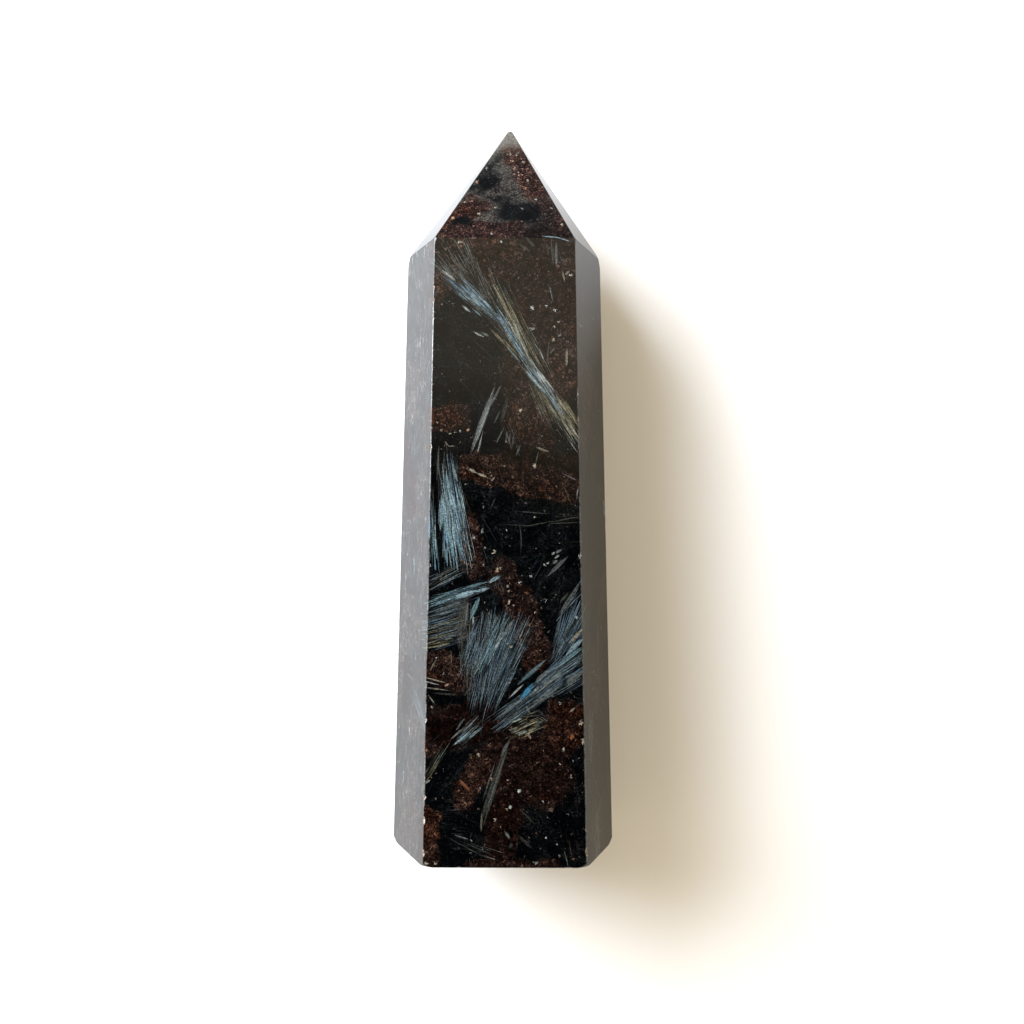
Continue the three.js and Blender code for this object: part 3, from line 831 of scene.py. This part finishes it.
placed = len(marks)
SIDES = (
    # looking towards, half its size across and along, and how many sheaves
    (BACK, (9.0, 38.0), 22),
    (LEFT_UPPER, (4.5, 38.0), 7),
    (RIGHT_UPPER, (4.5, 38.0), 9),
    (LEFT_LOWER, (4.5, 38.0), 11),
    (RIGHT_LOWER, (4.5, 38.0), 11),
    (BASE, (9.0, 7.0), 4),
    ((-0.75, 0.58, 0.31), (3.5, 6.0), 1),
    ((0.79, 0.53, 0.29), (3.5, 6.0), 1),
    ((-0.75, 0.56, -0.34), (3.5, 6.0), 1),
    ((0.78, 0.53, -0.32), (3.5, 6.0), 1),
    ((0, 0.48, -0.88), (6.0, 6.0), 2),
)
TINTS = (SEA, GREY, ASH, ASH, GOLD)
for side, (half_across, half_along), count in SIDES:
    finishes = ["smoke", "olive", "bark", "steel"]
    if side in (BACK, BASE, LEFT_LOWER, RIGHT_LOWER):
        finishes += ["silver", "sea", "steel"]
    _, middle = facet(side)
    across, upwards = directions(side)

    def anywhere():
        sideways = across * (dice.uniform(-1, 1) * half_across)
        return middle + sideways + upwards * (dice.uniform(-1, 1) * half_along)

    for _ in range(count // 2):
        size = (dice.uniform(2.5, 7.0), dice.uniform(1.2, 3.0))
        tint = [dice.uniform(0.5, 1.1) * channel for channel in (1.0, 0.72, 0.62)]
        patch(anywhere(), dice.uniform(0, 180), size, tint, 0.45, side, 1.2)
    for _ in range(count):
        heading, length = dice.uniform(0, 360), dice.uniform(1.8, 3.0)
        reach = (dice.uniform(-3.0, 0.0), dice.uniform(4.0, 11.0))
        waist, spread = dice.uniform(0.4, 1.3), dice.uniform(0.04, 0.2)
        fill, lanes = dice.uniform(0.55, 0.9), dice.randint(12, 26)
        sheaf(
            anywhere(), heading, reach, waist, spread, lanes, length, fill,
            dice.choice(finishes), side=side, depth=0.9,
        )
    for _ in range(count):
        first, turn = anywhere(), dice.uniform(0, 2 * math.pi)
        run = across * math.cos(turn) + upwards * math.sin(turn)
        last = first + run * dice.uniform(1.0, 4.0)
        width, strength = dice.uniform(0.12, 0.35), dice.uniform(0.5, 0.9)
        lay_blade(side, first, last, width, dice.choice(TINTS), strength, 0.0, 0.6)

# Small shells of rock have broken away along the edges, and show it pale and rough.

CHIPS = {
    # The two facets whose edge they are in, then for each chip how far along Y it is (or X
    # at the base), its length, its width and its depth, all in mm.
    (FRONT, LEFT_UPPER): [
        (25.6, 0.34, 0.22, 0.12), (23.9, 0.5, 0.24, 0.12), (21.5, 0.3, 0.2, 0.1),
        (4.6, 0.5, 0.2, 0.1), (-30.7, 0.4, 0.22, 0.12), (-40.6, 0.42, 0.3, 0.16),
        (-43.6, 0.7, 0.26, 0.12), (-47.7, 0.55, 0.3, 0.14),
    ],
    (FRONT, RIGHT_UPPER): [
        (8.4, 0.4, 0.2, 0.12), (-9.3, 0.36, 0.22, 0.12), (-44.7, 0.34, 0.26, 0.14),
        (-47.4, 0.8, 0.26, 0.12),
    ],
    (FRONT, BASE): [(-5.5, 0.5, 0.22, 0.12), (1.2, 0.4, 0.2, 0.1), (8.6, 0.6, 0.24, 0.14)],
    (BACK, BASE): [(-3.0, 0.7, 0.3, 0.14)],
    (LEFT_UPPER, BASE): [(-12.6, 0.5, 0.24, 0.12)],
    (LEFT_UPPER, LEFT_LOWER): [(12.0, 0.5, 0.2, 0.1), (-20.5, 0.7, 0.24, 0.12)],
    (RIGHT_UPPER, RIGHT_LOWER): [(-6.0, 0.5, 0.2, 0.1)],
    (BACK, RIGHT_LOWER): [(18.0, 0.6, 0.24, 0.12)],
}
UNEVEN = 0.22  # how far, in radii, the surface of a chip strays from round
EASED = 0.05  # mm, how much of the sharp edge is gone before it chips
broken_rock = bpy.data.materials.new("broken rock")
broken_rock.use_nodes = True
Wire.tree = broken_rock.node_tree
at = scaled(Wire.node("TexCoord", {}).out("Object"), 1 / MM)
crumbs = blend(seen(225, 215, 204), seen(140, 112, 92), ramp(noise(at, 5.0, 3.0), 0.42, 0.62))
matt = broken_rock.node_tree.nodes["Principled BSDF"]
matt.inputs["Roughness"].default_value = 0.75
Wire.tree.links.new(crumbs.socket, matt.inputs["Base Color"])

chips = bmesh.new()
crumble = random.Random(8)
flat_chips = [(*edge, *chip) for edge, broken in CHIPS.items() for chip in broken]
for one, other, where, long, wide, deep in flat_chips:
    pair = [facet(one), facet(other)]
    way = Vector((1, 0, 0) if other == BASE else (0, 1, 0))
    edge_normals = Matrix((pair[0][0], pair[1][0], way))
    heights = [normal.dot(middle) for normal, middle in pair]
    spot = edge_normals.inverted() @ Vector((*heights, where))
    outward = (pair[0][0] + pair[1][0]).normalized()
    along = pair[0][0].cross(pair[1][0]).normalized()
    turn = Matrix((along, outward.cross(along), outward)).transposed()
    ball = bmesh.ops.create_icosphere(chips, subdivisions=2, radius=1.0)["verts"]
    for corner in ball:
        uneven = corner.co * crumble.uniform(1 - UNEVEN, 1 + UNEVEN)
        shaped = Vector((uneven.x * long, uneven.y * wide, uneven.z * wide))
        corner.co = (spot + outward * (wide - deep - EASED) + turn @ shaped) * MM
chip_mesh = bpy.data.meshes.new("chips")
chips.to_mesh(chip_mesh)
chips.free()
chip_mesh.materials.append(broken_rock)
chipper = bpy.data.objects.new("chips", chip_mesh)
bpy.context.collection.objects.link(chipper)
stone_mesh.materials.clear()
stone_mesh.materials.append(None)  # the polished faces, until they get their materials
stone_mesh.materials.append(broken_rock)
chipping = stone.modifiers.new("chips", "BOOLEAN")
chipping.operation = "DIFFERENCE"
chipping.solver = "EXACT"
chipping.material_mode = "TRANSFER"
chipping.object = chipper
settled = bpy.context.evaluated_depsgraph_get()
stone_mesh = bpy.data.meshes.new_from_object(stone.evaluated_get(settled))
stone.modifiers.clear()
stone.data = stone_mesh
bpy.data.objects.remove(chipper)

# Each side of the stone has its own material of the same rock. It is worked out block by
# block, so that a ray meets only the marks near it.

MOST_MARKS = 20  # in one block, past which it is cut in two
LEAST_BLOCK = 4.0  # mm, the side of a block that isn't cut again, whatever it holds
HAIR = 2e-5  # mm between the copies of a mark in two blocks, which keeps them apart
SAME_WAY = 0.999  # the cosine between a face and the facet that it is part of
FACING = 0.7  # how much of a facet's normal points the way that it is said to face
# The outline that each kind of mark has, and what every block is given.
WHERE = {"patch": "ragged", "fleck": "nicked", "sheaf": "place", "blade": "place"}
SHARED = dict.fromkeys(("ground", "mica", "black"), "Color")
SHARED |= dict.fromkeys(("place", "ragged", "nicked"), "Vector")
ZONES = {
    "front by the tip": lambda normal, y: normal.z > FACING and y > FRONT_CUTS[1],
    "front middle": lambda normal, y: normal.z > FACING and y > FRONT_CUTS[0],
    "front by the base": lambda normal, y: normal.z > FACING,
    "back": lambda normal, y: normal.z < -FACING,
    "base": lambda normal, y: normal.y < -FACING,
    "left": lambda normal, y: normal.x < 0,
    "right": lambda normal, y: normal.x >= 0,
}
blocks = []


def polished(colour, place):
    """The rock, darker and paler from grain to grain, under its polish."""
    mottle = ramp(noise(place, 4.6, 1.0), 0.3, 0.7) * 0.96 + 0.54
    inputs = {"Base Color": scaled(colour, mottle), "Specular IOR Level": 0.0}
    inputs |= {"Coat Weight": 0.57, "Coat Roughness": 0.03, "Coat IOR": 1.66}
    return Wire.node("BsdfPrincipled", inputs)


def block_of_rock(low, high, within, rock, height):
    """The shader of the stone between two corners, in mm."""
    reaching = [each for each in within if reaches(low, high, each)]
    sides = [high[i] - low[i] for i in range(3)]
    axis = sides.index(max(sides))
    if len(reaching) <= MOST_MARKS or sides[axis] < LEAST_BLOCK:
        apart = Vector((len(blocks) * HAIR, 0, 0))

        def painted(ground, **shared):
            for kind, inputs, *_ in reaching:
                given = {"ground": ground, "place": shared[WHERE[kind]], **inputs}
                given["spot"] = inputs["spot"] + apart
                if "rock" in given:
                    given["rock"] = shared[given["rock"]]
                ground = Wire.node("Group", given, node_tree=KINDS[kind])
            return ground

        outer = Wire.tree
        blocks.append(part_of_material(f"block {len(blocks)}", SHARED, painted))
        Wire.tree = outer
        painted_rock = Wire.node("Group", rock, node_tree=blocks[-1])
        return polished(painted_rock, rock["place"])
    middle = (low[axis] + high[axis]) / 2
    beyond = Wire.maths("GREATER_THAN", height[axis], middle)
    near_high = [*high[:axis], middle, *high[axis + 1 :]]
    far_low = [*low[:axis], middle, *low[axis + 1 :]]
    near = block_of_rock(low, near_high, reaching, rock, height)
    far = block_of_rock(far_low, high, reaching, rock, height)
    return Wire.node("MixShader", {0: beyond, 1: near, 2: far})


left_over = [face for face in stone_mesh.polygons if face.material_index == 0]
for zone, belongs in ZONES.items():
    inside = [belongs(face.normal, face.center.y / MM) for face in left_over]
    faces = [face for face, taken in zip(left_over, inside) if taken]
    left_over = [face for face, taken in zip(left_over, inside) if not taken]
    ends = [stone_mesh.vertices[i].co / MM for face in faces for i in face.vertices]
    low, high = ([pick(end[i] for end in ends) for i in range(3)] for pick in (min, max))
    polish = bpy.data.materials.new(f"polished astrophyllite, {zone}")
    polish.use_nodes = True
    polish.node_tree.nodes.clear()
    Wire.tree = polish.node_tree
    rock = bare_rock()
    facets = [
        (normal, middle)
        for normal, middle in FACETS
        if any(normal.dot(face.normal) > SAME_WAY for face in faces)
    ]
    known = marks[:placed] if zone.startswith("front") else marks
    near = [each for each in known if cut_by(each, facets)]
    gloss = block_of_rock(low, high, near, rock, axes(rock["place"]))
    surface = Wire.tree.nodes.new("ShaderNodeOutputMaterial")
    Wire.tree.links.new(gloss.socket, surface.inputs["Surface"])
    for face in faces:
        face.material_index = len(stone_mesh.materials)
    stone_mesh.materials.append(polish)

for polygon in stone_mesh.polygons:
    polygon.use_smooth = stone_mesh.materials[polygon.material_index] != broken_rock
rounded = stone.modifiers.new("rounded edges", "WEIGHTED_NORMAL")
rounded.mode = "FACE_AREA"
rounded.weight = 80
rounded.keep_sharp = True

# ---- The studio --------------------------------------------------------------------
# A pale table, one large soft lamp high on the left, and a pale room with a dark ceiling
# over the stone, which its polish mirrors.

SENSOR = 36.0  # mm
VIEW_WIDTH, FOCAL_LENGTH = 1024, 1060  # pixels
CAMERA_AT, CAMERA_TURN = (1.175, -3.803, 160.41), 0.153  # mm and degrees
TABLE_REACH = 6.0  # m, from its middle to its edges
LAMP_AWAY = 0.28  # m
camera_data = bpy.data.cameras.new("camera")
camera = bpy.data.objects.new("camera", camera_data)
bpy.context.collection.objects.link(camera)
camera.location = Vector(CAMERA_AT) * MM
camera.rotation_euler = (0, 0, math.radians(CAMERA_TURN))
camera_data.sensor_width = SENSOR
camera_data.lens = SENSOR * FOCAL_LENGTH / VIEW_WIDTH
camera_data.clip_start = 0.001
bpy.context.scene.camera = camera

table_mesh = bpy.data.meshes.new("table")
table = bmesh.new()
bmesh.ops.create_grid(table, x_segments=1, y_segments=1, size=TABLE_REACH)
table.to_mesh(table_mesh)
table.free()
floor = bpy.data.objects.new("table", table_mesh)
bpy.context.collection.objects.link(floor)
pale_table = bpy.data.materials.new("pale table")
pale_table.use_nodes = True
Wire.tree = pale_table.node_tree
paper = Wire.tree.nodes["Principled BSDF"]
paper.inputs["Base Color"].default_value = (0.82, 0.82, 0.82, 1)
paper.inputs["Roughness"].default_value = 0.9
paper.inputs["Specular IOR Level"].default_value = 0.1
table_mesh.materials.append(pale_table)

world = bpy.data.worlds.new("studio")
bpy.context.scene.world = world
world.use_nodes = True
Wire.tree = world.node_tree
towards = Wire.node("TexCoord", {}).out("Generated")
ceiling = Vector((-0.18, -0.39, 0.9)).normalized()
overhead = vector("DOT_PRODUCT", towards, tuple(ceiling))
dark = ramp(overhead, math.cos(math.radians(37)), math.cos(math.radians(29)))
_, far, height = axes(towards)

# Warm above, white near the table, with an unlit wall at the far end.
room = blend((0.92, 0.81, 0.61, 1), (1.44, 1.2, 0.84, 1), ramp(height, 0.93, 0.82))
room = blend(room, (2.5, 2.5, 2.45, 1), ramp(height, 0.15, 0.12))
unlit_wall = ramp(far, 0.7, 0.9) * ramp(height, 0.13, 0.17)
room = blend(room, (0.22, 0.23, 0.25, 1), unlit_wall)
room = blend(room, (0.01, 0.01, 0.01, 1), dark)
background = world.node_tree.nodes["Background"]
Wire.tree.links.new(room.socket, background.inputs["Color"])
background.inputs["Strength"].default_value = 0.85

lamp_data = bpy.data.lights.new("key", "AREA")
lamp_data.shape = "RECTANGLE"
lamp_data.size, lamp_data.size_y = 0.25, 0.24
lamp_data.energy = 4.1
lamp_data.color = (0.91, 0.98, 1.09)
lamp = bpy.data.objects.new("key", lamp_data)
lamp_stands = Vector((-0.745, 0.48, 0.463)).normalized()
lamp.location = lamp_stands * LAMP_AWAY
lamp.rotation_euler = lamp_stands.to_track_quat("Z", "Y").to_euler()
bpy.context.collection.objects.link(lamp)

bpy.context.scene.view_settings.view_transform = "Standard"
